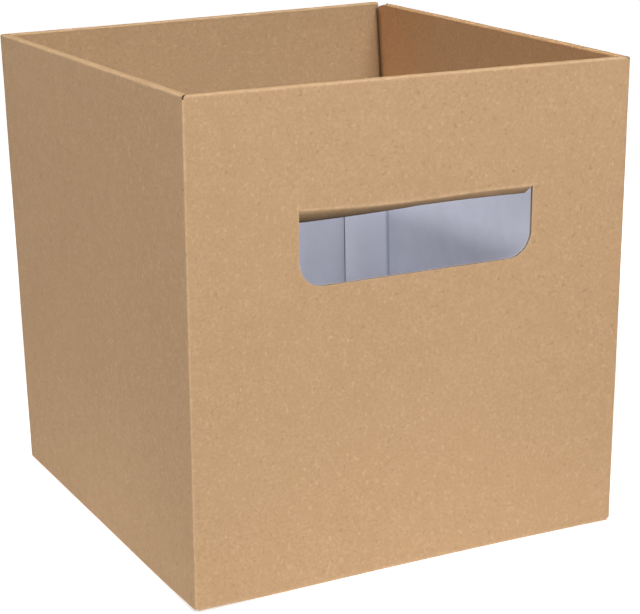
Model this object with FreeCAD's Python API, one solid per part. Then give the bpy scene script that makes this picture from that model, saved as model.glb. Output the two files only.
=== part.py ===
# Open cardboard tray box folded from one die-cut sheet of thin fluted board.
# Kraft outside, white coated inside. Four walls with a rolled-over rim (hem)
# folded down inside each wall, a hand hole in the front wall whose flap is
# creased twice and turned in round the hem's lower edge, one glued side seam
# at the back right corner, and a self-locking base of four flaps.
# Frame: origin on the table under the middle of the box, +Z up, front wall
# facing -Y, millimetres.
import FreeCAD
import Part
import math
import os
from FreeCAD import Vector as V

# ---------------------------------------------------------------- dimensions
W = 190.0          # outside width, X
D = 194.0          # outside depth, Y
H = 197.0          # height to the crest of the rim
T = 1.8            # board thickness
RO = 2.2           # outside radius of a fold
G = 0.4            # air between a wall and its hem
GB = 0.2           # air between two layers that lie on each other
HEM_Z = 150.6      # lower edge of the hem
HEM_END = 4.5      # hem ends this far from the outside corner
RIM_SIDE = 3.2     # straight sides of the rolled rim, down from its crest
NOTCH = 2.2        # the corner folds stop this far under the rim's crest
SLIT = 0.35        # each rim's mitred end stands this far from the corner's diagonal
BEVEL_Z = 4.2      # at the seam corner the side rim's end is bevelled from here
BEVEL_Y = 7.6      # to full height this far from the back
HOLE_W = 102.0     # hand hole width
HOLE_TOP = 150.2   # crease of the hand hole flap
HOLE_BOT = 121.2   # lower edge of the hand hole
HOLE_R = 10.3      # lower corners of the hand hole
FLAP_PLAY = 0.5    # the flap is this much narrower on each side
FLAP_A1 = 51.0     # first crease turns the flap in by this angle
FLAP_R1 = 1.9      # outside radius at the first crease
FLAP_STRIP = 5.3   # board between the two creases
FLAP_A2 = 168.0    # direction of the flap after the second crease
FLAP_R2 = 2.1      # outside radius at the second crease
FLAP_LEN = 20.0    # straight length after the second crease
RAMP = 11.0        # the side base flaps rise onto the main ones up to this far in
FOOT_IN = 4.5      # the side base flaps' folds stop this far from the corner
SEAM_W = 24.0      # glue flap seen inside the back wall
SEAM_TOP = 149.2   # top of the glue flap
SEAM_EDGE = 0.3    # the back wall's cut edge stands back from the right wall

ZR = H - RIM_SIDE          # the rim's section ends here, wall and hem go on down
ZC = H - NOTCH             # top of the corner folds
RR = T + G / 2             # outside radius of the rim
BASE2 = T + GB             # height of the inner pair of base flaps


# ------------------------------------------------------------------- helpers
def box(x0, x1, y0, y1, z0, z1):
    return Part.makeBox(x1 - x0, y1 - y0, z1 - z0, V(x0, y0, z0))


def wire(points, closed=True):
    # points: V, or ("arc", mid, end) from the last point
    edges, last, first = [], None, None
    for p in points:
        if isinstance(p, tuple):
            edges.append(Part.Arc(last, p[1], p[2]).toShape())
            last = p[2]
        else:
            if last is not None and (p - last).Length > 1e-7:
                edges.append(Part.LineSegment(last, p).toShape())
            if first is None:
                first = p
            last = p
    if closed and (last - first).Length > 1e-7:
        edges.append(Part.LineSegment(last, first).toShape())
    return Part.Wire(edges)


def arc(c, r, a0, a1, mk):
    # arc item round centre c=(d, z), from a0 to a1 degrees, ending at a1
    am = math.radians((a0 + a1) / 2)
    ae = math.radians(a1)
    return ("arc", mk(c[0] + r * math.cos(am), c[1] + r * math.sin(am)),
            mk(c[0] + r * math.cos(ae), c[1] + r * math.sin(ae)))


def extrude_section(items, s0, s1):
    # a closed section in depth d and height z, extruded along the wall
    return Part.Face(wire(items)).extrude(V(s1 - s0, 0, 0))


def plate(points, z0, z1):
    return Part.Face(wire([V(x, y, z0) for x, y in points])).extrude(V(0, 0, z1 - z0))


def place(shape, wall):
    # local frame: X along the wall, Y depth from its outside face, Z up
    s = shape.copy()
    turn = {"front": 0, "back": 180, "left": -90, "right": 90}[wall]
    s.rotate(V(0, 0, 0), V(0, 0, 1), turn)
    move = {"front": V(0, -D / 2, 0), "back": V(0, D / 2, 0),
            "left": V(-W / 2, 0, 0), "right": V(W / 2, 0, 0)}[wall]
    s.translate(move)
    return s


def rim(s0, s1):
    # the rolled rim above the corner folds: wall, half turn, start of the hem
    mk = lambda d, z: V(s0, d, z)
    c = (RR, H - RR)
    items = [mk(0, ZR), mk(0, H - RR), arc(c, RR, 180, 90, mk), arc(c, RR, 90, 0, mk),
             mk(2 * RR, ZR), mk(2 * RR - T, ZR), mk(2 * RR - T, H - RR),
             arc(c, G / 2, 0, 180, mk), mk(T, ZR)]
    return extrude_section(items, s0, s1)


def hem(s0, s1):
    # the hem below the corner folds, with rounded lower corners
    r = 4.0
    k = r * (1 - math.sqrt(0.5))
    y = T + G
    w = wire([V(s0, y, ZR), V(s0, y, HEM_Z + r),
              ("arc", V(s0 + k, y, HEM_Z + k), V(s0 + r, y, HEM_Z)),
              V(s1 - r, y, HEM_Z),
              ("arc", V(s1 - k, y, HEM_Z + k), V(s1, y, HEM_Z + r)),
              V(s1, y, ZR)])
    body = Part.Face(w).extrude(V(0, T, 0))
    glue = box(s0 + 6, s1 - 6, T, T + G, 160, 180)
    return body.fuse(glue)


def fold(s0, s1, z0, top):
    # quarter turn at the foot of a wall; the wall goes on from height top
    mk = lambda d, z: V(s0, d, z)
    c = (RO, z0 + RO)
    items = [mk(0, top), mk(0, z0 + RO), arc(c, RO, 180, 270, mk), mk(RO, z0 + T),
             arc(c, RO - T, 270, 180, mk), mk(T, top)]
    return extrude_section(items, s0, s1)


def hole_cutter():
    a, r = HOLE_W / 2, HOLE_R
    k = r * (1 - math.sqrt(0.5))
    y = -5.0
    w = wire([V(-a, y, HOLE_TOP), V(-a, y, HOLE_BOT + r),
              ("arc", V(-a + k, y, HOLE_BOT + k), V(-a + r, y, HOLE_BOT)),
              V(a - r, y, HOLE_BOT),
              ("arc", V(a - k, y, HOLE_BOT + k), V(a, y, HOLE_BOT + r)),
              V(a, y, HOLE_TOP)])
    return Part.Face(w).extrude(V(0, 5.0 + T + 0.1, 0))


def hand_flap():
    # kraft side is the outside of both creases
    a = HOLE_W / 2 - FLAP_PLAY
    mk = lambda d, z: V(-a, d, z)
    a1, a2 = math.radians(FLAP_A1), math.radians(FLAP_A2)

    def heading(al):
        return (math.sin(al), -math.cos(al))

    def out(p, al, off):
        # from the kraft path, off towards the white side
        return (p[0] + off * math.cos(al), p[1] + off * math.sin(al))

    p0 = (0.0, HOLE_TOP)
    c1 = (FLAP_R1, HOLE_TOP)
    p1 = (c1[0] - FLAP_R1 * math.cos(a1), c1[1] - FLAP_R1 * math.sin(a1))
    p2 = (p1[0] + FLAP_STRIP * heading(a1)[0], p1[1] + FLAP_STRIP * heading(a1)[1])
    c2 = (p2[0] + FLAP_R2 * math.cos(a1), p2[1] + FLAP_R2 * math.sin(a1))
    p3 = (c2[0] - FLAP_R2 * math.cos(a2), c2[1] - FLAP_R2 * math.sin(a2))
    p4 = (p3[0] + FLAP_LEN * heading(a2)[0], p3[1] + FLAP_LEN * heading(a2)[1])
    q4, q3 = out(p4, a2, T), out(p3, a2, T)
    q2, q1, q0 = out(p2, a1, T), out(p1, a1, T), out(p0, 0.0, T)
    A1, A2 = FLAP_A1, FLAP_A2
    lead = 0.6  # runs up into the wall's own board
    items = [mk(0, HOLE_TOP + lead), mk(*p0), arc(c1, FLAP_R1, 180, 180 + A1, mk), mk(*p2),
             arc(c2, FLAP_R2, 180 + A1, 180 + A2, mk), mk(*p4), mk(*q4), mk(*q3),
             arc(c2, FLAP_R2 - T, 180 + A2, 180 + A1, mk), mk(*q1),
             arc(c1, FLAP_R1 - T, 180 + A1, 180, mk), mk(T, HOLE_TOP + lead)]
    body = extrude_section(items, -a, a)
    # round the two free corners: cut what lies outside a rounded outline
    hx, hz = heading(a2)
    r = HOLE_R - 0.5
    k = r * (1 - math.sqrt(0.5))

    def at(s, l, off):
        # s along the wall, l along the flap back from its free edge
        q = (p4[0] - l * hx, p4[1] - l * hz)
        q = out(q, a2, off)
        return V(s, q[0], q[1])

    for sg in (-1, 1):
        e = a + 1.0
        w = wire([at(sg * (a - r), 0, -1), ("arc", at(sg * (a - k), k, -1), at(sg * a, r, -1)),
                  at(sg * e, r, -1), at(sg * e, -1, -1), at(sg * (a - r), -1, -1)])
        f = Part.Face(w)
        n = at(0, 0, T + 1) - at(0, 0, -1)
        body = body.cut(f.extrude(n))
    return body, [p0, p1, p2, p3, p4, c2]


# --------------------------------------------------------------------- build
pieces = []
half = {"front": W / 2, "back": W / 2, "left": D / 2, "right": D / 2}

# wall panels, without their folds; s runs left to right seen from outside
span = {"front": (-W / 2 + RO, W / 2 - RO),
        "back": (-(W / 2 - SEAM_EDGE), W / 2 - RO),
        "left": (-D / 2 + RO, D / 2 - RO),
        "right": (-D / 2 + RO, D / 2 - T - GB - RO)}
foot = {"front": 2.5, "back": 2.5, "left": 2.5, "right": 2.5}
for w, (s0, s1) in span.items():
    panel = box(s0, s1, 0, T, foot[w], ZR)
    if w == "front":
        panel = panel.cut(hole_cutter())
    pieces.append(place(panel, w))

# the corner folds
def corner(cx, cy, a0, z0, z1):
    o = Part.makeCylinder(RO, z1 - z0, V(cx, cy, z0), V(0, 0, 1), 90)
    i = Part.makeCylinder(RO - T, z1 - z0 + 2, V(cx, cy, z0 - 1), V(0, 0, 1), 90)
    q = o.cut(i)
    q.rotate(V(cx, cy, z0), V(0, 0, 1), a0)
    return q

pieces.append(corner(-W / 2 + RO, -D / 2 + RO, 180, 3.2, ZC))
pieces.append(corner(W / 2 - RO, -D / 2 + RO, 270, 3.2, ZC))
pieces.append(corner(-W / 2 + RO, D / 2 - RO, 90, 3.2, ZC))
# the right wall turns into the glue flap, which lies inside the back wall
ys = D / 2 - T - GB
pieces.append(corner(W / 2 - RO, ys - RO, 0, 3.2, SEAM_TOP))
flap = box(W / 2 - T - SEAM_W, W / 2 - RO, ys - T, ys, BASE2 + 3.0, SEAM_TOP)
flap = flap.makeChamfer(3.0, [e for e in flap.Edges
                              if abs(e.Vertexes[0].X - (W / 2 - T - SEAM_W)) < 1e-6
                              and abs(e.Vertexes[1].X - (W / 2 - T - SEAM_W)) < 1e-6
                              and abs(e.Vertexes[0].Z - e.Vertexes[1].Z) < 1e-6])
pieces.append(flap)
pieces.append(box(W / 2 - T - SEAM_W + 4, W / 2 - RO - 3, ys - 0.01, ys + GB + 0.01, 14, SEAM_TOP - 8))
# above the glue flap the right wall ends in a cut edge that meets the back wall
pieces.append(box(W / 2 - T, W / 2, ys - RO - 0.5, ys - 0.15, SEAM_TOP + 0.6, ZR))

# rims and hems: each rim is mitred at the corners, the seam corner is not
def outline():
    # the rounded footprint that the rims' ends follow, square at the seam corner
    x, y, k = W / 2, D / 2, RO * (1 - math.sqrt(0.5))
    return Part.Face(wire([V(x, -y + RO, ZR - 1), V(x, y, ZR - 1), V(-x + RO, y, ZR - 1),
                           ("arc", V(-x + k, y - k, ZR - 1), V(-x, y - RO, ZR - 1)), V(-x, -y + RO, ZR - 1),
                           ("arc", V(-x + k, -y + k, ZR - 1), V(-x + RO, -y, ZR - 1)), V(x - RO, -y, ZR - 1),
                           ("arc", V(x - k, -y + k, ZR - 1), V(x, -y + RO, ZR - 1))])).extrude(V(0, 0, 10))


def mitre(h, sg):
    # what the rim of a wall of half length h loses at its end on side sg
    e = SLIT * math.sqrt(2)
    q = [V(sg * (h - e), 0, ZR - 1), V(sg * (h - e - 9), 9, ZR - 1), V(sg * (h + 3), 9, ZR - 1),
         V(sg * (h + 3), -3, ZR - 1), V(sg * (h - e + 3), -3, ZR - 1)]
    return Part.Face(wire(q)).extrude(V(0, 0, 10))


foot_print = outline()
for w in ("front", "back", "left", "right"):
    h = half[w]
    e0 = e1 = h
    if w == "back":
        e0 = h - SEAM_EDGE             # the seam corner is at this wall's left end seen from outside
    if w == "right":
        e1 = h - T - GB - 0.15
    top = rim(-e0, e1)
    for sg in (-1, 1):
        if not ((w == "back" and sg == -1) or (w == "right" and sg == 1)):
            top = top.cut(mitre(h, sg))
    top = place(top, w).common(foot_print)
    if w == "back":
        # the inner half of this rim stops at its hem's end
        top = top.cut(box(W / 2 - HEM_END, W / 2 + 1, D / 2 - 2 * RR - 1, D / 2 - T - 0.01, ZR - 1, ZC + 0.4))
    pieces.append(top)
    pieces.append(place(hem(-(h - HEM_END), h - HEM_END), w))

# hand hole flap
flap_solid, flap_points = hand_flap()
pieces.append(place(flap_solid, "front"))

# base: front and back flaps hook into each other on the outside, side flaps lie on them
def side_fold(s0, s1):
    # foot of a side wall, then a short rise onto the main flaps
    mk = lambda d, z: V(s0, d, z)
    c = (RO, RO)
    items = [mk(0, 2.5), mk(0, RO), arc(c, RO, 180, 270, mk), mk(RAMP, BASE2), mk(RAMP, BASE2 + T), mk(RO, T),
             arc(c, RO - T, 270, 180, mk), mk(T, 2.5)]
    body = extrude_section(items, s0, s1)
    for sg, e in ((-1, s0), (1, s1)):
        q = [V(e, RO, -1), V(e - sg * (RAMP - RO), RAMP, -1), V(e - sg * (RAMP - RO), RAMP + 2, -1),
             V(e + sg * 2, RAMP + 2, -1), V(e + sg * 2, RO, -1)]
        body = body.cut(Part.Face(wire(q)).extrude(V(0, 0, 8)))
    return body


for w in ("front", "back"):
    pieces.append(place(fold(-(W / 2 - 3.0), W / 2 - 3.0, 0.0, foot[w]), w))
    main = plate([(-(W / 2 - 3.0), -D / 2 + RO), (W / 2 - 3.0, -D / 2 + RO), (W / 2 - 12.2, -D / 2 + 12.5),
                  (W / 2 - 12.2, -34), (W / 2 - 24, -9.3), (6, -9.3), (-6, 8.7), (-(W / 2 - 26), 8.7),
                  (-(W / 2 - 12.2), -14), (-(W / 2 - 12.2), -D / 2 + 12.5)], 0.0, T)
    if w == "back":
        main.rotate(V(0, 0, 0), V(0, 0, 1), 180)
    pieces.append(main)
# glued corner areas join a side flap to a main flap
x0, x1 = -W / 2 + RAMP, RAMP - RO
side = [(x0, -D / 2 + FOOT_IN + x1), (x0 + 4, -D / 2 + FOOT_IN + x1), (-72, -D / 2 + 5), (-16, -D / 2 + 5), (-34, -44),
        (-30, -20), (-30, 22), (-52, 48), (x0, D / 2 - FOOT_IN - x1)]
tri = [(-68, -D / 2 + 8), (-24, -D / 2 + 8), (-40, -50)]
for w in ("left", "right"):
    pieces.append(place(side_fold(-(D / 2 - FOOT_IN), D / 2 - FOOT_IN), w))
    a = plate(side, BASE2, BASE2 + T)
    b = plate(tri, T - 0.01, BASE2 + 0.01)
    if w == "right":
        for q in (a, b):
            q.rotate(V(0, 0, 0), V(0, 0, 1), 180)
    pieces += [a, b]

solid = pieces[0].multiFuse(pieces[1:])
# the bevelled end of the right rim at the seam corner
y0 = D / 2 - T - 0.05
q = [V(W / 2 - 5, y0 - 0.6, H - BEVEL_Z), V(W / 2 - 5, D / 2 - BEVEL_Y, H + 0.01),
     V(W / 2 - 5, D / 2 - BEVEL_Y, H + 3), V(W / 2 - 5, y0, H + 3), V(W / 2 - 5, y0, H - BEVEL_Z)]
solid = solid.cut(Part.Face(wire(q)).extrude(V(7, 0, 0)))
solid = solid.removeSplitter()
os.makedirs("parts", exist_ok=True)
shapes = solid.Solids
print("solids", len(shapes), "valid", solid.isValid(), "volume_cm3", round(solid.Volume / 1000, 2),
      "faces", len(solid.Faces), "bbox", solid.BoundBox)
print("flap points", [(round(a, 2), round(b, 2)) for a, b in flap_points])
body = shapes[0] if len(shapes) == 1 else solid
body.exportStep("parts/tray_box.step")
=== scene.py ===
import bpy
import math
import numpy as np
from mathutils import Matrix, Vector, noise
from mathutils.geometry import delaunay_2d_cdt
from mathutils.kdtree import KDTree

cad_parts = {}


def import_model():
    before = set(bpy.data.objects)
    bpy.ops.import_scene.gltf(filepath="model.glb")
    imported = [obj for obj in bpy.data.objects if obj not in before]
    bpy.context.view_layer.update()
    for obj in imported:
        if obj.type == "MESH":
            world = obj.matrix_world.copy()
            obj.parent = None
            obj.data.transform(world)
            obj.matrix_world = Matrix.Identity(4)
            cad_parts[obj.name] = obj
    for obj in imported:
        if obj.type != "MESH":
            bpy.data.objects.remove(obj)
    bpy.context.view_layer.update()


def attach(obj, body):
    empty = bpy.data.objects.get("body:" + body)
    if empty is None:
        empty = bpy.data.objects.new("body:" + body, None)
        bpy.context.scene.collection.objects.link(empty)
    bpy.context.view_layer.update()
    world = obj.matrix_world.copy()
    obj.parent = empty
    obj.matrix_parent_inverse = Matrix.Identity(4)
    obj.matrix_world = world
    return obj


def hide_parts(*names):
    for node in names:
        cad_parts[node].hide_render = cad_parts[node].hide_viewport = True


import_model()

# ------------------------------------------------------------------ sizes, mm
W, D, H = 190.0, 194.0, 197.0
T = 1.8            # board
RO = 1.0           # outside radius of a pressed fold
RI = 0.2           # inside radius of a fold
RID = 1.1          # inside radius of the glued corner's fold
G = 2 * RI         # air between a wall and its hem
GB = 0.2           # air between layers of the base and the seam
RIM = 2 * T + G    # the rim across
ZR = H - RO        # the rim's first crease starts here
ZC = H - 1.3       # top of the corner folds
Z0 = 1.3           # foot of the corner folds
Z0S = 3.2          # foot of the glued corner's fold
HEM_Z = 150.6
YS = D / 2 - T - GB            # outside face of the glue flap
SEAM_TOP = 149.2
SEAM_W = 23.3
RAMP = 11.0
BASE2 = T + GB
QUARTER = math.pi / 2 * RO
VB = RO - QUARTER              # where the base fold ends, along the sheet
HOLE_W2, HOLE_TOP, HOLE_BOT, HOLE_R = 50.7, 149.9, 120.9, 10.3
HOLE_X = 0.8
HALF = {"front": W / 2, "back": W / 2, "left": D / 2, "right": D / 2}
LEAN = {"front": math.radians(1.6), "back": math.radians(0.9), "left": math.radians(1.4), "right": math.radians(0.7)}
HEM_END = {"front": 4.3, "back": 4.3, "left": 2.6, "right": 2.6}


# ----------------------------------------------- folding the flat sheet's points
def world(wall, s, d, z):
    if wall == "front":
        return (s, -D / 2 + d, z)
    if wall == "back":
        return (-s, D / 2 - d, z)
    if wall == "left":
        return (-W / 2 + d, -s, z)
    return (W / 2 - d, s, z)


def world_dir(wall, nd, nz):
    return {"front": (0, nd, nz), "back": (0, -nd, nz), "left": (nd, 0, nz), "right": (-nd, 0, nz)}[wall]


def smooth(x):
    x = min(1.0, max(0.0, x))
    return x * x * (3 - 2 * x)


def squeeze(x, a, b, c):
    """the inside of a fold is shorter: x from a to b runs from a to c"""
    return x if x <= a else a + (x - a) * (c - a) / (b - a)


HEM_V = ZR + 2 * QUARTER + (RIM - 2 * RO)      # here the hem starts down


def section(wall, v):
    """depth and height of the sheet's brown face at v along it, and of its white face"""
    if v < VB:
        L = VB - v
        d = RO + L
        di = T + RI + (L if L > 4 else L * (4 + RO - T - RI) / 4.0) - (T + RI - RO if L > 4 else 0)
        z = 0.0
        if wall in ("left", "right"):
            z = BASE2 * smooth((d - RO - 0.5) / (RAMP - RO - 0.5))
        return d, z, di, z + T
    if v < RO:
        a = (RO - v) / RO
        return RO - RO * math.cos(a), RO - RO * math.sin(a), T + RI - RI * math.cos(a), T + RI - RI * math.sin(a)
    if v < ZR:
        zi = v
        if v < RO + 4:
            zi = T + RI + (v - RO) * (4 + RO - T - RI) / 4.0
        if v > ZR - 4:
            zi = squeeze(v, ZR - 4, ZR, H - T - RI)
        return 0.0, v, T, zi
    q = v - ZR
    # a half turn on the white side, two creases and a flat top on the brown side
    total = 2 * QUARTER + RIM - 2 * RO
    k = min(1.0, q / total)
    ai = math.pi * smooth(k)
    zt = H - T - RI
    di, zi = T + RI - RI * math.cos(ai), zt + RI * math.sin(ai)
    e = LEAN[wall]
    if q <= QUARTER:
        a = q / RO
        return RO - RO * math.cos(a), ZR + RO * math.sin(a), di, zi
    if q <= QUARTER + RIM - 2 * RO:
        x = q - QUARTER
        crown = 0.10 * math.sin(math.pi * x / (RIM - 2 * RO))
        return RO + x, H + crown - 0.05, di, zi
    if q <= total:
        a = (q - QUARTER - (RIM - 2 * RO)) / RO
        return RIM - RO + RO * math.sin(a), ZR + RO * math.cos(a), di, zi
    L = q - total
    d, z = RIM + L * math.sin(e), ZR - L * math.cos(e)
    zi = z if L > 4 else zt - L * (4 - RO + T + RI) / 4.0 * 1.0 + 0.0
    if L <= 4:
        zi = zt + (z - ZR) * ((ZR - 4) - zt) / -4.0
    return d, z, d - T, zi


def v_of_hem(wall, z):
    return HEM_V + (ZR - z) / math.cos(LEAN[wall])


def fold_of(v):
    """1 on the middle of a fold, 0 away from it"""
    a = max(0.0, 1 - abs(v - (VB + RO) / 2) / 2.0)
    for m in (ZR + QUARTER / 2, HEM_V - QUARTER / 2):
        a = max(a, 0.8 - abs(v - m) / 1.7)
    if ZR < v < HEM_V:
        a = max(a, 0.2)
    return max(0.0, a)


# ------------------------------------------------------------------ flat pieces
class Sheet:
    """points of the folded sheet, each with its place on the brown and on the white face"""

    def __init__(self):
        self.out, self.inn, self.flat, self.fold = [], [], [], []
        self.faces = []

    def add(self, pts, faces):
        n = len(self.out)
        for o, i, fl, fo in pts:
            self.out.append(o)
            self.inn.append(i)
            self.flat.append(fl)
            self.fold.append(fo)
        self.faces += [tuple(n + k for k in f) for f in faces]


sheet = Sheet()


def resample(poly, vlev, step):
    """poly as [(s, v)], closed; adds a point at each level in vlev and at least every step"""
    out = []
    for k in range(len(poly)):
        a, b = poly[k], poly[(k + 1) % len(poly)]
        ts = {0.0}
        if abs(b[1] - a[1]) > 1e-9:
            for v in vlev:
                t = (v - a[1]) / (b[1] - a[1])
                if 1e-4 < t < 1 - 1e-4:
                    ts.add(t)
        ts = sorted(ts)
        full = ts + [1.0]
        L = math.hypot(b[0] - a[0], b[1] - a[1])
        for i in range(len(ts)):
            t0, t1 = full[i], full[i + 1]
            n = max(1, int(math.ceil((t1 - t0) * L / step - 1e-6)))
            for j in range(n):
                t = t0 + (t1 - t0) * j / n
                out.append((a[0] + (b[0] - a[0]) * t, a[1] + (b[1] - a[1]) * t))
    return out


def inside(pts, poly):
    """which of the points lie in the outline"""
    p = np.asarray(pts, dtype=float).reshape(-1, 2)
    q = np.asarray(poly, dtype=float)
    r = np.roll(q, -1, axis=0)
    x, y = p[:, 0:1], p[:, 1:2]
    cross = (q[:, 1] > y) != (r[:, 1] > y)
    dy = r[:, 1] - q[:, 1]
    dy[dy == 0] = 1e-12
    hit = cross & (x < (r[:, 0] - q[:, 0]) * (y - q[:, 1]) / dy + q[:, 0])
    return hit.sum(axis=1) % 2 == 1


def fill(outer, holes, slev, vlev, near):
    """triangles over the outline less its holes, on the grid of levels"""
    pts = list(outer)
    rings = [list(range(len(outer)))]
    for h in holes:
        rings.append(list(range(len(pts), len(pts) + len(h))))
        pts += h
    kd = KDTree(len(pts))
    for i, p in enumerate(pts):
        kd.insert((p[0], p[1], 0), i)
    kd.balance()
    grid = [(s, v) for v in vlev for s in slev]
    ok = inside(grid, outer)
    for h in holes:
        ok &= ~inside(grid, h)
    for (s, v), good in zip(grid, ok):
        if not good:
            continue
        # near an outline a grid point stays only where it has room
        co, _, dist = kd.find((s, v, 0))
        if dist < (near if abs(co[1] - v) < 1e-6 else 0.45 * near):
            continue
        pts.append((s, v))
    edges = [(r[k], r[(k + 1) % len(r)]) for r in rings for k in range(len(r))]
    vv, _, ff, _, _, _ = delaunay_2d_cdt([Vector(p) for p in pts], edges, [], 0, 1e-7)
    vv = np.array([(p.x, p.y) for p in vv])
    ff = np.array([tuple(f) for f in ff])
    c = vv[ff].mean(axis=1)
    ok = inside(c, outer)
    for h in holes:
        ok &= ~inside(c, h)
    tris = []
    for f in ff[ok]:
        (x0, y0), (x1, y1), (x2, y2) = vv[f]
        area = (x1 - x0) * (y2 - y0) - (x2 - x0) * (y1 - y0)
        if abs(area) < 1e-9:
            continue
        tris.append(tuple(int(k) for k in (f if area > 0 else f[::-1])))
    used = sorted({k for f in tris for k in f})
    new = {k: i for i, k in enumerate(used)}
    return [tuple(vv[k]) for k in used], [tuple(new[k] for k in f) for f in tris]


def arcpts(cx, cy, r, a0, a1, n):
    return [(cx + r * math.cos(math.radians(a0 + (a1 - a0) * k / n)), cy + r * math.sin(math.radians(a0 + (a1 - a0) * k / n)))
            for k in range(n + 1)]


# levels along the sheet: base fold, wall, rim, hem
WALL_LEV = [RO + 0.0, Z0, 1.7, 2.4, Z0S, 4.0, 5.0, 7.2] + list(np.linspace(11, 188, 45)) + [190.5, 192.0, 193.5, 194.6, ZC, ZR]
FOLD_LEV = [VB + (RO - VB) * k / 6 for k in range(6)]


def levels(wall):
    top = HEM_V - ZR
    rim = [ZR + QUARTER * k / 5 for k in range(1, 6)]
    rim += [ZR + QUARTER + (RIM - 2 * RO) * k / 4 for k in range(1, 5)]
    rim += [HEM_V - QUARTER + QUARTER * k / 5 for k in range(1, 6)]
    rim += [HEM_V + 0.7, HEM_V + 1.6]
    end = v_of_hem(wall, HEM_Z)
    hem = list(np.linspace(HEM_V + 4.0, end - 4.0, 10))
    base = list(np.linspace(VB - 110, VB - 12.5, 24))
    base += [VB - 0.7, VB - 1.6, VB - 2.6, VB - 4.0]
    base += [VB - (RAMP - RO) * k / 7 for k in range(3, 8)]
    return sorted(set(round(float(x), 6) for x in base + FOLD_LEV + WALL_LEV + rim + hem)), end


def hem_side(wall, sg, lev, end):
    """the rim's and hem's end on side sg, from the corner fold's top to the hem's foot"""
    h = HALF[wall]
    seam = (wall == "back" and sg < 0) or (wall == "right" and sg > 0)
    out = []
    r = 4.0
    foot = [end - r + r * math.sin(math.radians(a)) for a in (0, 15, 30, 45, 60, 75, 90)]
    low = ZC if not seam else RO
    lv = [x for x in lev if low < x < end - r - 0.3] + foot
    for v in lv:
        d, z, di, zi = section(wall, v)
        hem_s = h - HEM_END[wall]
        if wall in ("front", "back"):
            # clear of the side hems, which lean in
            hem_s -= max(0.0, v - HEM_V) * math.sin(LEAN["left" if (wall == "front") == (sg < 0) else "right"])
        if wall == "back" and seam:
            # at the glued corner this wall's rim is cut back
            if v < Z0 - 0.1:
                continue
            if v < H - 5.0:
                s = h - 0.3
            elif v < H - 4.4:
                s = h - 0.3 - 2.2 * (v - (H - 5.0)) / 0.6
            elif v < HEM_V:
                s = h - 2.5
            else:
                s = h - 2.5 - 0.45 * smooth((v - HEM_V) / 3.0)
        elif wall == "right" and seam:
            if v <= SEAM_TOP + 1.2:
                continue
            # the side wall's rim is cut back further than the back wall's
            if v <= ZR + QUARTER:
                s = float(np.interp(H - z, [0, 0.35, 1.7, 3.2], [88.0, 89.0, 93.0, YS - 0.15]))
            elif v <= HEM_V - QUARTER:
                s = 88.0 - 4.4 * (d - RO) / (RIM - 2 * RO)
            else:
                s = float(np.interp(H - z, [0, 0.4, 0.9, 1.6, 2.4, 4.0], [83.6, 86.0, 88.2, 90.4, 92.4, h - HEM_END[wall]]))
        else:
            e = 0.28 + 0.06 * math.sin(3 * v + h) + 0.25 * smooth((2.3 - d) / 1.8) * smooth((v - ZC) / 1.0)
            s = h - e - d if v < HEM_V else hem_s - (RIM + e - h + hem_s) * (1 - smooth((v - HEM_V) / 2.5))
        if v > end - r:
            k = v - (end - r)
            s -= r - math.sqrt(max(0.0, r * r - k * k))
        out.append((sg * s, v))
    return out


def wall_outline(wall, lev, end):
    h = HALF[wall]
    if wall in ("front", "back"):
        foot = [(W / 2 - 1.5, RO), (W / 2 - 12.2, 12.5), (W / 2 - 12.2, D / 2 - 34), (W / 2 - 24, D / 2 - 9.3), (6, D / 2 - 9.3),
                (-6, D / 2 + 8.7), (-(W / 2 - 26), D / 2 + 8.7), (-(W / 2 - 12.2), D / 2 - 14), (-(W / 2 - 12.2), 12.5), (-(W / 2 - 1.5), RO)]
    else:
        x1 = RAMP - RO
        e0 = D / 2 - (3.2 if wall == "right" else 1.9)
        foot = [(e0, RO), (D / 2 - 3.2 - x1, RAMP), (D / 2 - 3.2 - x1, RAMP + 4), (D / 2 - 5, W / 2 - 72), (D / 2 - 5, W / 2 - 16),
                (44, W / 2 - 34), (20, W / 2 - 30), (-22, W / 2 - 30), (-48, W / 2 - 52), (-(D / 2 - 3.2 - x1), RAMP), (-(D / 2 - 1.9), RO)]
    foot = [(s, VB - (d - RO)) for s, d in foot]
    # counter-clockwise in (s, v): up the right side, along the hem's foot, down the left side, round the base flap
    if wall == "right":
        right = [(e0, 2.4), (YS - RO, Z0S), (YS - RO, SEAM_TOP), (YS - RO + 0.35, SEAM_TOP + 0.8), (YS - 0.15, SEAM_TOP + 1.2)]
    else:
        right = [(h - RO, Z0), (h - RO, ZC)]
    right += hem_side(wall, 1, lev, end)
    left = list(reversed(hem_side(wall, -1, lev, end)))
    if wall == "back":
        left += [(-(h - 0.3), Z0)]
    else:
        left += [(-(h - RO), ZC), (-(h - RO), Z0)]
    return right + left + list(reversed(foot))


def tidy(poly):
    out = []
    for p in poly:
        if not out or math.hypot(p[0] - out[-1][0], p[1] - out[-1][1]) > 1e-5:
            out.append(p)
    while math.hypot(out[0][0] - out[-1][0], out[0][1] - out[-1][1]) < 1e-5:
        out.pop()
    return out


def crease(s):
    """height of the hand hole's crease: it isn't quite level"""
    return float(np.interp(s, [-51, -40, -30, -20, -10, 0, 10, 20, 30, 40, 52], [151.15, 150.69, 150.25, 149.86, 149.68, 149.68, 149.82, 150.02, 150.17, 150.11, 149.84]))


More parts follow.
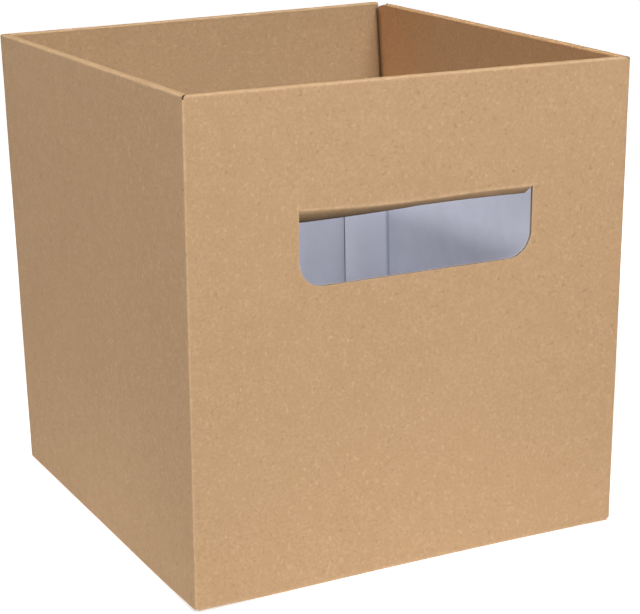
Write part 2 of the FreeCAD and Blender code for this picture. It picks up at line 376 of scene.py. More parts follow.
def hole_ring():
    cx, a, r = HOLE_X, HOLE_W2, HOLE_R
    top = [(cx + a * k / 20, crease(cx + a * k / 20)) for k in range(20, -21, -1)]
    left = [(cx - a, HOLE_TOP - 0.3 - k * (HOLE_TOP - 0.3 - HOLE_BOT - r) / 4) for k in range(0, 4)]
    corner_l = arcpts(cx - a + r, HOLE_BOT + r, r, 180, 270, 14)
    bottom = [(cx - a + r + (2 * a - 2 * r) * k / 18, HOLE_BOT) for k in range(1, 18)]
    corner_r = arcpts(cx + a - r, HOLE_BOT + r, r, 270, 360, 14)
    right = [(cx + a, HOLE_BOT + r + (HOLE_TOP - 1.5 - HOLE_BOT - r) * k / 4) for k in range(1, 5)]
    return top + left + corner_l + bottom + corner_r + right


def inner_s(wall, s, v, d, di):
    """the white face runs inside the folds and the mitres"""
    h = HALF[wall]
    a = abs(s)
    sg = 1 if s > 0 else -1
    seam_cut = wall == "back" and s < 0
    if RO <= v <= ZC:
        if wall == "right" and s > 0:
            if v <= SEAM_TOP + 0.05:
                a = squeeze(a, YS - RO - 4, YS - RO, YS - T - RID)
        elif not seam_cut:
            a = squeeze(a, h - RO - 4, h - RO, h - T - RI)
    elif ZC < v < HEM_V and not seam_cut and not (wall == "right" and s > 0):
        a = min(a, h - di - 0.3)
    return sg * a


SLEV = {}
for w in HALF:
    h = HALF[w]
    SLEV[w] = [-h + RO + 1.2, -h + RO + 2.5] + list(np.linspace(-h + RO + 4, h - RO - 4, 43)) + [h - RO - 2.5, h - RO - 1.2]

for wall in ("front", "back", "left", "right"):
    lev, end = levels(wall)
    outline = tidy(resample(tidy(wall_outline(wall, lev, end)), lev, 4.6))
    holes = [tidy(hole_ring())] if wall == "front" else []
    pts, tris = fill(outline, holes, SLEV[wall], lev, 1.0)
    data = []
    for s, v in pts:
        d, z, di, zi = section(wall, v)
        if v > HEM_V:
            # the hems' ends are crushed and curl back to the wall
            seam = wall == "back" and s < 0
            reach = HALF[wall] - (3.0 if seam else 4.3 if wall in ("front", "back") else 3.6) - abs(s)
            k = smooth(1 - reach / 2.4) * smooth((v - HEM_V) / 3.0)
            curl = smooth(1 - reach / 4.5) * min(1.0, (v - HEM_V) / 40.0)
            if wall == "right" and s > 0:
                # here it is pressed flat behind the back wall's hem
                k = smooth((s - 88.0) / 4.5) * smooth((v - HEM_V) / 3.0)
                d, di = d + (2.8 - d) * k, di + (min(di, 2.2) - di) * k
            else:
                d -= 0.5 * k
            if wall in ("front", "back"):
                d, di = d - 0.55 * curl, di - 0.55 * curl
        o = world(wall, s, d, z)
        i = world(wall, inner_s(wall, s, v, d, di), di, zi)
        data.append((o, i, (wall, s, v), fold_of(v)))
    # seen from outside, s to the right and v up is counter-clockwise: normals point out
    sheet.add(data, tris)

# corner folds
CORNER_LEV = [x for x in WALL_LEV if Z0 <= x <= ZC]


def inner_z(v):
    return section("front", v)[3]


def corner(sx, sy, a0, lev, tag, y=D / 2, ri=RI):
    n = 6
    data, faces = [], []
    for v in lev:
        for k in range(n + 1):
            a = math.radians(a0 + 90 * k / n)
            nx, ny = math.cos(a), math.sin(a)
            o = (sx * (W / 2 - RO) + RO * nx, sy * (y - RO) + RO * ny, v)
            i = (sx * (W / 2 - T - ri) + ri * nx, sy * (y - T - ri) + ri * ny, inner_z(v))
            data.append((o, i, (tag, k / n, v), 0.85 * (1 - abs(k - n / 2) / (n / 2))))
    for r in range(len(lev) - 1):
        for k in range(n):
            p = r * (n + 1) + k
            faces.append((p, p + 1, p + n + 2, p + n + 1))
    if tag != "cD":
        # the foot of the fold is pressed in to a blunt corner
        c = len(data)
        data.append(((sx * (W / 2 - 1.8), sy * (y - 1.8), 0.35), (sx * (W / 2 - 3.2), sy * (y - 3.2), 2.4), (tag, 0.5, lev[0]), 0.3))
        faces += [(k + 1, k, c) for k in range(n)]
    sheet.add(data, faces)


corner(-1, -1, 180, CORNER_LEV, "cB")
corner(1, -1, 270, CORNER_LEV, "cC")
corner(-1, 1, 90, CORNER_LEV, "cA")
seam_lev = [x for x in WALL_LEV if Z0S <= x < SEAM_TOP - 0.5] + [SEAM_TOP]
corner(1, 1, 0, seam_lev, "cD", YS, RID)

# glue flap, inside the back wall; u runs from the corner along -X
u0 = T + RID - RO                      # the white side of the corner starts here
u1 = SEAM_W + T - RO
glue_poly = [(0, Z0S), (u1 + 0.7, 9.0), (u1 + 0.9, 14.0), (u1, 105.0), (u1, SEAM_TOP - 12.5), (u1 - 0.6, SEAM_TOP - 9.0), (0, SEAM_TOP)]
glue_poly = tidy(resample(glue_poly, seam_lev, 4.6))
pts, tris = fill(glue_poly, [], [1.2, 2.5, 4.0] + list(np.linspace(4, u1, 6))[1:-1], seam_lev, 1.2)
data = []
for u, v in pts:
    # pressed thinner towards its free edge
    t = T - 0.9 * smooth((u - u1 + 3.0) / 3.0)
    ui = u0 + u * (4 - u0) / 4 if u < 4 else u
    y = YS + 0.12 * smooth((u - 3) / 6.0)
    data.append(((W / 2 - RO - u, y, v), (W / 2 - RO - ui, y - t, inner_z(v) if v < 20 else v), ("glue", u, v), 0.0))
sheet.add(data, tris)


# the hand hole's flap: two creases, then it stands up behind the hem
def flap_angle(s):
    """how far the first crease turns: less at its left end, where the strip sags"""
    return math.radians(float(np.interp(s, [-50, -44, -38, -30, -20, -10, 0, 6, 14, 22, 32, 46, 52],
                                        [35.5, 37.0, 40.2, 44.8, 50.0, 53.8, 57.0, 58.6, 58.0, 56.4, 54.4, 54.0, 54.8])))


def flap_path(s, q):
    """q along the flap from the crease"""
    zc = crease(s)
    A1 = flap_angle(s)
    A2 = math.radians(166)
    R1, R2, strip = 1.1, 1.9, 5.6
    l1 = R1 * A1
    if q <= l1:
        a = q / R1
        return R1 - R1 * math.cos(a), zc - R1 * math.sin(a), a
    p = (R1 - R1 * math.cos(A1), zc - R1 * math.sin(A1))
    if q <= l1 + strip:
        L = q - l1
        return p[0] + L * math.sin(A1), p[1] - L * math.cos(A1), A1
    p = (p[0] + strip * math.sin(A1), p[1] - strip * math.cos(A1))
    c = (p[0] + R2 * math.cos(A1), p[1] + R2 * math.sin(A1))
    l2 = l1 + strip + R2 * (A2 - A1)
    if q <= l2:
        a = A1 + (q - l1 - strip) / R2
        return c[0] - R2 * math.cos(a), c[1] - R2 * math.sin(a), a
    L = q - l2
    return c[0] - R2 * math.cos(A2) + L * math.sin(A2), c[1] - R2 * math.sin(A2) - L * math.cos(A2), A2


cx, a, n = HOLE_X, HOLE_W2, 40
rows = [0.0, 0.2, 0.4, 0.6, 0.8, 1.0, 1.4, 2.2, 3.2, 4.4, 5.6, 6.4, 6.9, 7.3]
rows += [7.3 + 0.36 * k for k in range(1, 13)] + list(np.linspace(12.6, 29.0, 8))
last = rows[-1]
data, faces = [], []
for r, q in enumerate(rows):
    for k in range(n + 1):
        s = cx - a + 2 * a * k / n
        w = a - min(0.35, q * 1.2)
        if q > last - 12.0:
            kk = q - (last - 12.0)
            w -= 12.0 - math.sqrt(max(0.0, 144.0 - kk * kk))
        x = cx + (s - cx) * w / a
        d, z, al = flap_path(x, q)
        ti = T if q < 0.2 else T - 0.25 * max(0.0, 1 - abs(q - 9.0) / 3.0)
        o = world("front", x, d, z)
        i = world("front", x, d + ti * math.cos(al), z + ti * math.sin(al))
        fo = max(0.0, 1 - abs(q - 0.3) / 1.1, 0.8 - abs(q - 8.5) / 3.0)
        data.append((o, i, ("flap", x, q), fo))
for r in range(len(rows) - 1):
    for k in range(n):
        p = r * (n + 1) + k
        faces.append((p, p + n + 1, p + n + 2, p + 1))
sheet.add(data, faces)


# ---------------------------------------------------------- weld the flat pieces
out = np.array(sheet.out)
inn = np.array(sheet.inn)
kd = KDTree(len(out))
for i, p in enumerate(out):
    kd.insert(p, i)
kd.balance()
parent = list(range(len(out)))
for i, p in enumerate(out):
    for co, j, dist in kd.find_range(Vector(p), 2e-4):
        if j < i and parent[j] == j and np.abs(inn[i] - inn[j]).max() < 2e-4:
            parent[i] = j
            break
keep = [i for i in range(len(out)) if parent[i] == i]
idx = {i: k for k, i in enumerate(keep)}
root = [idx[parent[i]] for i in range(len(out))]
faces = []
for f in sheet.faces:
    g = []
    for k in f:
        r = root[k]
        if not g or g[-1] != r:
            g.append(r)
    if len(g) > 1 and g[0] == g[-1]:
        g.pop()
    if len(set(g)) >= 3 and len(set(g)) == len(g):
        faces.append(tuple(g))
out, inn = out[keep], inn[keep]
flat = [sheet.flat[i] for i in keep]
fold = np.array([sheet.fold[i] for i in keep])
for i in range(len(root)):
    fold[root[i]] = max(fold[root[i]], sheet.fold[i])


# the rim's ends follow the rounded corners
def round_corners(P):
    P = P.copy()
    for sx, sy in ((-1, 1), (-1, -1), (1, -1)):
        cx, cy = sx * (W / 2 - RO), sy * (D / 2 - RO)
        dx, dy = P[:, 0] - cx, P[:, 1] - cy
        r = np.hypot(dx, dy)
        m = (dx * sx > 0) & (dy * sy > 0) & (r > RO) & (P[:, 2] > ZC - 0.01)
        P[m, 0] = cx + dx[m] * RO / r[m]
        P[m, 1] = cy + dy[m] * RO / r[m]
    return P


out = round_corners(out)

# ------------------------------------------------------------- cut edges' quads
count = {}
for f in faces:
    for k in range(len(f)):
        e = (f[k], f[(k + 1) % len(f)])
        count[e] = count.get(e, 0) + 1
rim_edges = [e for e in count if (e[1], e[0]) not in count]
print("sheet points", len(out), "faces", len(faces), "cut edge quads", len(rim_edges), "doubled", sum(c > 1 for c in count.values()))

n = len(out)
all_faces = list(faces) + [tuple(n + k for k in reversed(f)) for f in faces] + [(b, a, n + a, n + b) for a, b in rim_edges]
mat_index = [0] * len(faces) + [1] * len(faces) + [2] * len(rim_edges)


# ----------------------------------------------------- how this box is out of true
MOVE = {(0, 1, 0): (0.71, -0.01, 0), (0, 0, 0): (-0.60, 0.16, 0), (1, 0, 0): (-0.64, 0.37, 0), (1, 1, 0): (1.53, -0.54, 0),
        (0, 1, 1): (-2.14, 0.22, -0.48), (0, 0, 1): (1.41, 0.62, 0.69), (1, 0, 1): (2.14, -1.36, -1.01), (1, 1, 1): (-3.37, 0.55, 0.54)}


def warp(P):
    u, v, w = P[:, 0] / W + 0.5, P[:, 1] / D + 0.5, P[:, 2] / H
    q = P.copy()
    for (a, b, c), m in MOVE.items():
        k = (u if a else 1 - u) * (v if b else 1 - v) * (w if c else 1 - w)
        for j in range(3):
            q[:, j] += k * m[j]
    u, v, w = np.clip(u, 0, 1), np.clip(v, 0, 1), np.clip(w, 0, 1)
    # the glued corner bows out
    q[:, 0] += u * v * (8.0 * w * (1 - w) - 1.2 * (1 - w))
    near_f, near_b = np.clip(1 - v * 3, 0, 1), np.clip(1 - (1 - v) * 3, 0, 1)
    near_l, near_r = np.clip(1 - u * 3, 0, 1), np.clip(1 - (1 - u) * 3, 0, 1)
    bu, bv, bw = 4 * u * (1 - u), 4 * v * (1 - v), 4 * w * (1 - w)
    # walls pull in a little between their folds
    q[:, 1] += near_f * (0.35 * bu * bw + 0.9 * bu * (1 - w) ** 3) - near_b * 0.3 * bu * bw
    q[:, 0] += near_l * 0.35 * bv * bw - near_r * 0.35 * bv * bw
    # the near foot lifts a little in its middle, the rims aren't quite level
    r2 = (P[:, 0] + W / 2) ** 2 + (P[:, 1] + D / 2) ** 2
    q[:, 2] += 0.8 * np.exp(-r2 / 512.0) * np.clip(1 - P[:, 2] / 30.0, 0, 1) ** 2
    q[:, 2] += 0.45 * near_f * bu * (1 - w) ** 4 - 0.22 * near_b * bu * w ** 6 + 0.15 * near_r * bv * w ** 6
    return q


def ripple(P, N, flatness):
    """shallow waves of the board and uneven folds"""
    q = P.copy()
    for i in range(len(P)):
        p = Vector(P[i])
        a = 0.10 * noise.noise(p / 38.0) + 0.05 * noise.noise(p / 13.0 + Vector((7, 3, 1)))
        b = fold[i] * 0.10 * noise.noise(p / 5.0 + Vector((1, 9, 4)))
        m = (a + b) * flatness[i]
        q[i] += m * N[i]
    return q


N = out - inn
N /= np.maximum(np.linalg.norm(N, axis=1), 1e-9)[:, None]
# nothing may sink into the table, and the seam's layers keep their air
flatness = np.ones(n)
for i, (tag, s, v) in enumerate(flat):
    if tag in ("front", "back", "left", "right") and v < RO:
        flatness[i] = 0.25 if v > VB else 0.0
    if tag in ("glue", "cD"):
        flatness[i] = 0.3
new_out = ripple(out, N, flatness)
new_inn = new_out - (out - inn)
verts = np.vstack([warp(new_out), warp(new_inn)])
low = verts[:, 2].min()
verts[:, 2] -= min(0.0, low)
verts *= 0.001

mesh = bpy.data.meshes.new("tray_box_board")
mesh.from_pydata([tuple(p) for p in verts], [], all_faces)
mesh.polygons.foreach_set("material_index", mat_index)
mesh.polygons.foreach_set("use_smooth", [True] * len(all_faces))
mesh.validate(verbose=True)
mesh.update()
box = bpy.data.objects.new("tray_box_board", mesh)
bpy.context.scene.collection.objects.link(box)

# sharp where the brown and the white face meet a cut edge
mi = np.empty(len(mesh.polygons), dtype=np.int32)
mesh.polygons.foreach_get("material_index", mi)
side = {}
for p in mesh.polygons:
    for key in p.edge_keys:
        side.setdefault(key, set()).add(int(mi[p.index]))
sharp = mesh.attributes.new("sharp_edge", "BOOLEAN", "EDGE")
sharp.data.foreach_set("value", [len(side.get(tuple(sorted(e.vertices)), {0})) > 1 for e in mesh.edges])

# what the materials read: how near a fold, how near a cut edge, and the place along and through the board
edge_pts = sorted({k for e in rim_edges for k in e})
kd = KDTree(len(edge_pts))
for i, k in enumerate(edge_pts):
    kd.insert(out[k], i)
kd.balance()
near_edge = np.array([max(0.0, 1 - kd.find(Vector(p))[2] / 2.5) for p in out])
at = mesh.attributes.new("fold", "FLOAT", "POINT")
at.data.foreach_set("value", np.concatenate([fold, fold]))
at = mesh.attributes.new("near_edge", "FLOAT", "POINT")
at.data.foreach_set("value", np.concatenate([near_edge, near_edge]))
sflat = []
for tag, s, v in flat:
    if tag in ("cA", "cB", "cC", "cD"):
        sflat.append((s * 3.4, v))
    else:
        sflat.append((s, v))
sflat = np.array(sflat)
cut = np.zeros((2 * n, 3))
cut[:n, 0] = cut[n:, 0] = sflat[:, 0]
cut[:n, 1] = cut[n:, 1] = sflat[:, 1]
cut[n:, 2] = 1.0
# painted light and shade in the board's colour: the right hem is painted warmer, as painted warm bounce light between
# the kraft hems; the hand hole's strip is painted darker towards its lower crease, as painted shade
warm, shade = [], []
for tag, s, v in flat:
    warm.append((0.75 + 0.25 * smooth((s - 30) / 55.0)) * smooth((v - HEM_V + 2.0) / 1.6) if tag == "right" else 0.0)
    q = 0.0
    # the hand hole's strip is painted darker towards its lower crease: painted shade on the downward-facing strip
    if tag == "flap":
        q = float(np.interp(v, [0, 0.8, 2.0, 3.5, 6.0, 7.0, 8.2, 9.4], [0, 0.04, 0.38, 0.61, 0.8, 1.0, 1.0, 0.0]))
        q *= 1.0 - 0.5 * smooth((s + 35) / 75.0) * (1 - smooth((v - 6.0) / 1.4) * 0.7)
    # the hems' ends at the glued corner are painted darker: painted shade in the crevice between them
    elif tag == "right" and v > HEM_V - 1.0:
        q = 0.5 * smooth((s - 90.6) / 2.2)
    elif tag == "back" and s < 0 and v > HEM_V:
        q = 0.28 * smooth((-s - 90.6) / 1.4)
    # a painted dark spot at the front right corner of the rim: painted shade standing in for the shadowed mitre gap
    if ZC < v < ZR + QUARTER + 1.3 and ((tag == "front" and s > 0) or (tag == "right" and s < 0)):
        q = max(q, 0.85 * smooth((abs(s) - (HALF[tag] - 2.4)) / 1.0))
    # the rim's top is painted a little darker: painted shade on the top that the lamps light
    if tag in HALF and ZR < v < HEM_V:
        q = max(q, 0.12)
    shade.append(q)
# cut edges deep in a mitre or in the glued corner are painted dark: painted shade in the recesses
deep = []
for tag, s, v in flat:
    e = 0.0
    if tag in HALF and ZC - 0.2 < v < HEM_V + 1.0:
        e = smooth((abs(s) - (HALF[tag] - 5.5)) / 2.0)
    if tag in HALF and v >= HEM_V + 1.0:
        e = 0.6 * smooth((abs(s) - (HALF[tag] - 5.5)) / 2.0)
    deep.append(e)
for name, vals in (("warm", warm), ("shade", shade), ("deep", deep)):
    at = mesh.attributes.new(name, "FLOAT", "POINT")
    at.data.foreach_set("value", np.array(vals + vals))
# glue_edge: on the brown side it marks the glue flap's cut edge for painted shade; on the white side it paints the glue
# flap's liner and the right wall's liner near the glued corner lighter, as painted light
at = mesh.attributes.new("glue_edge", "FLOAT", "POINT")
grey = [1.0 if tag == "glue" else 0.0 for tag, s, v in flat]
lift = [0.38 + 0.62 * smooth(1 - s / 16.0) if tag == "glue" else 0.45 * smooth((s - 40.0) / 45.0) if tag == "right" and v < HEM_V else 0.0
        for tag, s, v in flat]
at.data.foreach_set("value", np.array(grey + lift))
# the back wall's liner is a shade darker than the flap that is glued to it
at = mesh.attributes.new("dim", "FLOAT", "POINT")
dim = [1.0 if tag == "back" and v < HEM_V - 2 else 0.0 for tag, s, v in flat]
at.data.foreach_set("value", np.array(dim + dim))
at = mesh.attributes.new("board", "FLOAT_VECTOR", "POINT")
at.data.foreach_set("vector", cut.ravel())
print("board piece: triangles", sum(len(p.vertices) - 2 for p in mesh.polygons), "lowest", verts[:, 2].min())


# -------------------------------------------------------------------- materials
def node_mat(name):
    m = bpy.data.materials.new(name)
    m.use_nodes = True
    t = m.node_tree
    t.nodes.clear()
    o = t.nodes.new("ShaderNodeOutputMaterial")
    b = t.nodes.new("ShaderNodeBsdfPrincipled")
    t.links.new(b.outputs["BSDF"], o.inputs["Surface"])
    return m, t, b


def lin(c):
    return tuple(((x / 255) / 12.92 if x / 255 <= 0.04045 else ((x / 255 + 0.055) / 1.055) ** 2.4) for x in c) + (1.0,)


def N_(t, kind, **kw):
    nd = t.nodes.new(kind)
    for k, v in kw.items():
        setattr(nd, k, v)
    return nd


def tex(t, vec, scale, detail=2.0, rough=0.5, dist=0.0):
    nd = N_(t, "ShaderNodeTexNoise")
    nd.inputs["Scale"].default_value = scale
    nd.inputs["Detail"].default_value = detail
    nd.inputs["Roughness"].default_value = rough
    nd.inputs["Distortion"].default_value = dist
    t.links.new(vec, nd.inputs["Vector"])
    return nd.outputs["Fac"]


def ramp(t, fac, pts):
    nd = N_(t, "ShaderNodeValToRGB")
    e = nd.color_ramp.elements
    e[0].position, e[0].color = pts[0]
    e[1].position, e[1].color = pts[-1]
    for p, c in pts[1:-1]:
        x = e.new(p)
        x.color = c
    t.links.new(fac, nd.inputs["Fac"])
    return nd.outputs["Color"]


def mix(t, fac, a, b, mode="MIX"):
    nd = N_(t, "ShaderNodeMix", data_type="RGBA", blend_type=mode)
    for sock, val in ((0, fac), (6, a), (7, b)):
        if isinstance(val, bpy.types.NodeSocket):
            t.links.new(val, nd.inputs[sock])
        else:
            nd.inputs[sock].default_value = val
    return nd.outputs[2]


def math_(t, op, a, b=0.0, clamp=False):
    nd = N_(t, "ShaderNodeMath", operation=op, use_clamp=clamp)
    for k, val in enumerate((a, b)):
        if isinstance(val, bpy.types.NodeSocket):
            t.links.new(val, nd.inputs[k])
        else:
            nd.inputs[k].default_value = val
    return nd.outputs[0]


def maprange(t, v, a, b, c=0.0, d=1.0):
    nd = N_(t, "ShaderNodeMapRange")
    nd.clamp = True
    t.links.new(v, nd.inputs["Value"])
    for k, x in (("From Min", a), ("From Max", b), ("To Min", c), ("To Max", d)):
        nd.inputs[k].default_value = x
    return nd.outputs["Result"]


def scaled(t, vec, sc):
    nd = N_(t, "ShaderNodeMapping")
    nd.inputs["Scale"].default_value = sc
    t.links.new(vec, nd.inputs["Vector"])
    return nd.outputs["Vector"]


def kraft():
    m, t, b = node_mat("kraft_outer")
    co = N_(t, "ShaderNodeTexCoord").outputs["Object"]
    fine = tex(t, co, 820, 3.0, 0.6)                 # fibres, about a millimetre
    cloud = tex(t, co, 170, 3.0, 0.5)                # clouds of the pulp
    wide = tex(t, co, 24, 2.0, 0.5)
    dark = tex(t, co, 560, 1.0, 0.4)
    light = tex(t, scaled(t, co, (1.0, 1.0, 0.8)), 640, 1.0, 0.4)
    c0 = ramp(t, fine, [(0.28, lin((169, 136, 101))), (0.50, lin((179, 146, 110))), (0.74, lin((189, 156, 119)))])
    c1 = mix(t, maprange(t, cloud, 0.35, 0.7, 0.0, 0.5), c0, lin((173, 140, 104)))
    c1 = mix(t, maprange(t, wide, 0.3, 0.75, 0.0, 0.3), c1, lin((184, 150, 114)))
    c2 = mix(t, maprange(t, dark, 0.66, 0.76, 0.0, 0.30), c1, lin((128, 98, 68)))
    c3 = mix(t, maprange(t, light, 0.64, 0.74, 0.0, 0.30), c2, lin((206, 175, 139)))
    fold_ = N_(t, "ShaderNodeAttribute", attribute_name="fold").outputs["Fac"]
    worn = math_(t, "MULTIPLY", maprange(t, fold_, 0.3, 1.0), maprange(t, tex(t, co, 380, 2.0, 0.6), 0.3, 0.65, 0.15, 0.75))
    c4 = mix(t, worn, c3, lin((206, 174, 140)))
    edge_ = N_(t, "ShaderNodeAttribute", attribute_name="near_edge").outputs["Fac"]
    c5 = mix(t, maprange(t, edge_, 0.6, 1.0, 0.0, 0.18), c4, lin((196, 168, 138)))
    # the right hem painted warmer: painted warm bounce light
    warm_ = N_(t, "ShaderNodeAttribute", attribute_name="warm").outputs["Fac"]
    c6 = mix(t, warm_, c5, (1.0, 0.79, 0.60, 1.0), "MULTIPLY")
    # painted shade from the shade attribute: the hand hole's strip, the hems' ends at the glued corner, the rim's top
    # and its front right corner
    shade_ = N_(t, "ShaderNodeAttribute", attribute_name="shade").outputs["Fac"]
    c7 = mix(t, shade_, c6, (0.05, 0.045, 0.04, 1.0), "MULTIPLY")
    t.links.new(c7, b.inputs["Base Color"])
    t.links.new(maprange(t, cloud, 0.3, 0.7, 0.82, 0.95), b.inputs["Roughness"])
    b.inputs["Specular IOR Level"].default_value = 0.2
    bump = N_(t, "ShaderNodeBump")
    bump.inputs["Strength"].default_value = 0.25
    bump.inputs["Distance"].default_value = 0.0002
    hgt = math_(t, "ADD", math_(t, "MULTIPLY", fine, 0.5), math_(t, "MULTIPLY", cloud, 0.6))
    t.links.new(hgt, bump.inputs["Height"])
    t.links.new(bump.outputs["Normal"], b.inputs["Normal"])
    return m


def liner():
    m, t, b = node_mat("white_liner")
    co = N_(t, "ShaderNodeTexCoord").outputs["Object"]
    cloud = tex(t, co, 110, 3.0, 0.55)
    fine = tex(t, co, 900, 2.0, 0.5)
    c0 = ramp(t, cloud, [(0.3, lin((213, 215, 226))), (0.7, lin((220, 222, 233)))])
    c1 = mix(t, maprange(t, fine, 0.35, 0.75, 0.0, 0.2), c0, lin((205, 207, 218)))
    fold_ = N_(t, "ShaderNodeAttribute", attribute_name="fold").outputs["Fac"]
    # the liner is painted darker along the folds: painted shade in the inside creases, with crushed liner at the score
    # lines
    c2 = mix(t, maprange(t, fold_, 0.25, 0.9, 0.0, 0.75), c1, lin((176, 176, 190)))
    # the glue flap's liner and the right wall's liner near the glued corner are painted lighter: painted light
    c2 = mix(t, N_(t, "ShaderNodeAttribute", attribute_name="glue_edge").outputs["Fac"], c2, lin((243, 245, 255)))
    c2 = mix(t, N_(t, "ShaderNodeAttribute", attribute_name="dim").outputs["Fac"], c2, (0.94, 0.94, 0.95, 1.0), "MULTIPLY")
    t.links.new(c2, b.inputs["Base Color"])
    b.inputs["Roughness"].default_value = 0.5
    b.inputs["Specular IOR Level"].default_value = 0.4
    bump = N_(t, "ShaderNodeBump")
    bump.inputs["Strength"].default_value = 0.15
    bump.inputs["Distance"].default_value = 0.0001
    t.links.new(cloud, bump.inputs["Height"])
    t.links.new(bump.outputs["Normal"], b.inputs["Normal"])
    return m


def cut_edge():
    m, t, b = node_mat("fluted_edge")
    sep = N_(t, "ShaderNodeSeparateXYZ")
    t.links.new(N_(t, "ShaderNodeAttribute", attribute_name="board").outputs["Vector"], sep.inputs["Vector"])
    s, v, k = sep.outputs
    co = N_(t, "ShaderNodeTexCoord").outputs["Object"]
    wob = tex(t, co, 160, 2.0, 0.5)
    wave = math_(t, "SINE", math_(t, "ADD", math_(t, "MULTIPLY", s, 2 * math.pi / 3.2), math_(t, "MULTIPLY", wob, 1.2)))
    mid = math_(t, "ADD", math_(t, "MULTIPLY", wave, 0.28), 0.5)
    off = math_(t, "ABSOLUTE", math_(t, "SUBTRACT", k, mid))
    medium = maprange(t, off, 0.08, 0.14, 1.0, 0.0)
    brown = maprange(t, k, 0.20, 0.26, 1.0, 0.0)
    white = maprange(t, k, 0.76, 0.81, 0.0, 1.0)
    # the hollows between the flutes are painted dark: painted shade in the recesses of the flat cut edge
    gap = lin((104, 84, 66))
    c = mix(t, medium, gap, lin((176, 150, 122)))
    c = mix(t, brown, c, lin((214, 190, 164)))
    c = mix(t, white, c, lin((226, 223, 226)))
    c = mix(t, maprange(t, tex(t, co, 700, 2.0, 0.6), 0.3, 0.7, 0.0, 0.35), c, lin((168, 150, 134)))
    # the glue flap's pressed edge is painted greyer and darker: painted shade along the flap's edge
    c = mix(t, N_(t, "ShaderNodeAttribute", attribute_name="glue_edge").outputs["Fac"], c, lin((143, 143, 157)))
    # cut edges deep in mitres and at the hems' ends are painted darker: painted shade
    c = mix(t, N_(t, "ShaderNodeAttribute", attribute_name="deep").outputs["Fac"], c, (0.30, 0.22, 0.15, 1.0), "MULTIPLY")
    t.links.new(c, b.inputs["Base Color"])
    b.inputs["Roughness"].default_value = 0.95
    b.inputs["Specular IOR Level"].default_value = 0.1
    bump = N_(t, "ShaderNodeBump")
    bump.inputs["Strength"].default_value = 0.4
    bump.inputs["Distance"].default_value = 0.0003
    h = math_(t, "MAXIMUM", math_(t, "MAXIMUM", medium, brown), white)
    t.links.new(h, bump.inputs["Height"])
    t.links.new(bump.outputs["Normal"], b.inputs["Normal"])
    return m


for make in (kraft, liner, cut_edge):
    mesh.materials.append(make())

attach(box, "root")
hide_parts("tray_box")

# ----------------------------------------------------------- floor, light, camera
floor_mesh = bpy.data.meshes.new("floor")
floor_mesh.from_pydata([(-40, -40, 0), (40, -40, 0), (40, 40, 0), (-40, 40, 0)], [], [(0, 1, 2, 3)])
floor = bpy.data.objects.new("floor", floor_mesh)
bpy.context.scene.collection.objects.link(floor)
fm, ft, fb = node_mat("floor_glowing")
fb.inputs["Base Color"].default_value = (0.6, 0.6, 0.6, 1)
fb.inputs["Roughness"].default_value = 0.9
fb.inputs["Specular IOR Level"].default_value = 0.1
# the floor is given emission, so it glows though it is no lamp: a painted pool of light round the box, brighter floor
# behind and beside it, none under the box
fb.inputs["Emission Color"].default_value = (1, 1, 1, 1)
gr = N_(ft, "ShaderNodeTexGradient", gradient_type="QUADRATIC_SPHERE")
ft.links.new(scaled(ft, N_(ft, "ShaderNodeTexCoord").outputs["Object"], (1 / 0.36, 1 / 0.36, 1 / 0.36)), gr.inputs["Vector"])
behind = N_(ft, "ShaderNodeSeparateXYZ")
ft.links.new(N_(ft, "ShaderNodeTexCoord").outputs["Object"], behind.inputs["Vector"])
far = math_(ft, "MULTIPLY", maprange(ft, behind.outputs["Y"], 0.05, 0.55, 0.0, 1.0), maprange(ft, behind.outputs["X"], -0.4, -0.1, 0.0, 1.0))
beside = math_(ft, "MAXIMUM", math_(ft, "DIVIDE", math_(ft, "ABSOLUTE", behind.outputs["X"]), 0.092),
               math_(ft, "DIVIDE", math_(ft, "ABSOLUTE", behind.outputs["Y"]), 0.094))
out2 = math_(ft, "ADD", math_(ft, "MULTIPLY", behind.outputs["X"], behind.outputs["X"]),
             math_(ft, "MULTIPLY", behind.outputs["Y"], behind.outputs["Y"]))
far = math_(ft, "MAXIMUM", far, math_(ft, "ADD", maprange(ft, out2, 0.4, 0.9, 0.0, 0.42), maprange(ft, out2, 0.9, 4.0, 0.0, 0.58)))
far = math_(ft, "MAXIMUM", far, math_(ft, "MULTIPLY", maprange(ft, behind.outputs["X"], 0.15, 0.4, 0.0, 1.0),
                                      maprange(ft, behind.outputs["Y"], -0.1, 0.1, 0.0, 1.0)))
glow = math_(ft, "ADD", math_(ft, "MULTIPLY", gr.outputs["Fac"], 1.4), far)
ft.links.new(math_(ft, "MULTIPLY", glow, math_(ft, "GREATER_THAN", beside, 1.0)), fb.inputs["Emission Strength"])
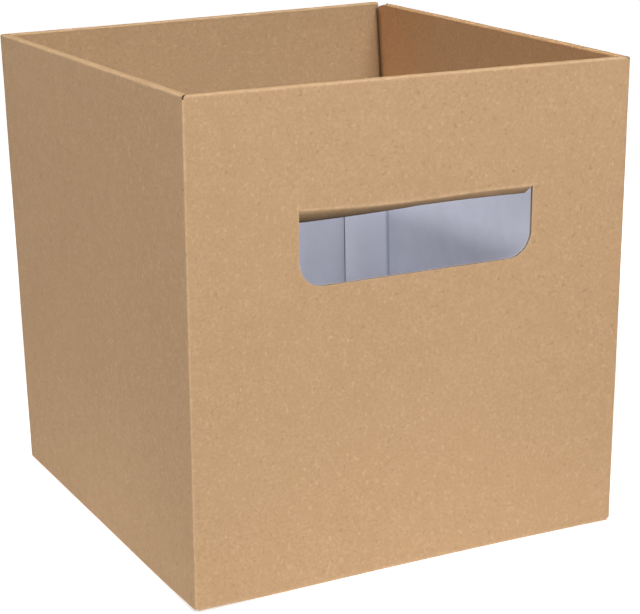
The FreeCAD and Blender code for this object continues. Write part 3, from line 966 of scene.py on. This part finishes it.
floor_mesh.materials.append(fm)

world_ = bpy.data.worlds.new("studio")
bpy.context.scene.world = world_
world_.use_nodes = True
bg = world_.node_tree.nodes["Background"]
bg.inputs["Color"].default_value = (0.96, 0.98, 1.0, 1)
bg.inputs["Strength"].default_value = 0.03


def area(name, loc, target, size, power, colour):
    l = bpy.data.lights.new(name, "AREA")
    l.shape = "RECTANGLE"
    l.size, l.size_y = size
    l.energy = power
    l.color = colour
    o = bpy.data.objects.new(name, l)
    o.location = loc
    o.rotation_euler = (Vector(target) - Vector(loc)).to_track_quat("-Z", "Y").to_euler()
    bpy.context.scene.collection.objects.link(o)
    return o


def around(az, el, dist):
    """a place on a sphere about the box: azimuth from the front wall, to the right"""
    a, e = math.radians(az), math.radians(el)
    return (dist * math.sin(a) * math.cos(e), -dist * math.cos(a) * math.cos(e), 0.12 + dist * math.sin(e))


area("key", around(4, 28, 1.4), (0, 0, 0.12), (0.5, 0.5), 13.85, (1.0, 0.997, 1.0))
area("left", around(-81, 28.7, 1.3), (0, 0, 0.12), (0.07, 0.07), 6.9, (0.93, 0.95, 1.0))
pool = area("pool", (0.0, 0.0, 1.6), (0, 0, 0.0), (0.6, 0.6), 2.0, (1.0, 1.0, 0.94))
pool.data.spread = math.radians(50)
cam_data = bpy.data.cameras.new("camera")
cam_data.sensor_fit = "HORIZONTAL"
cam_data.sensor_width = 36.0
cam_data.lens = 1914.93 / 640 * 36.0
cam_data.clip_start, cam_data.clip_end = 0.01, 50.0
cam = bpy.data.objects.new("camera", cam_data)
right = Vector((0.889777, -0.456158, -0.014743))
upv = Vector((0.140047, 0.242143, 0.960080))
back = Vector((-0.434379, -0.856321, 0.279336))
m4 = Matrix.Identity(4)
for r in range(3):
    m4[r][0], m4[r][1], m4[r][2] = right[r], upv[r], back[r]
m4.translation = Vector((-0.35217, -0.71042, 0.31339))
cam.matrix_world = m4
bpy.context.scene.collection.objects.link(cam)
bpy.context.scene.camera = cam
bpy.context.scene.view_settings.view_transform = "Standard"
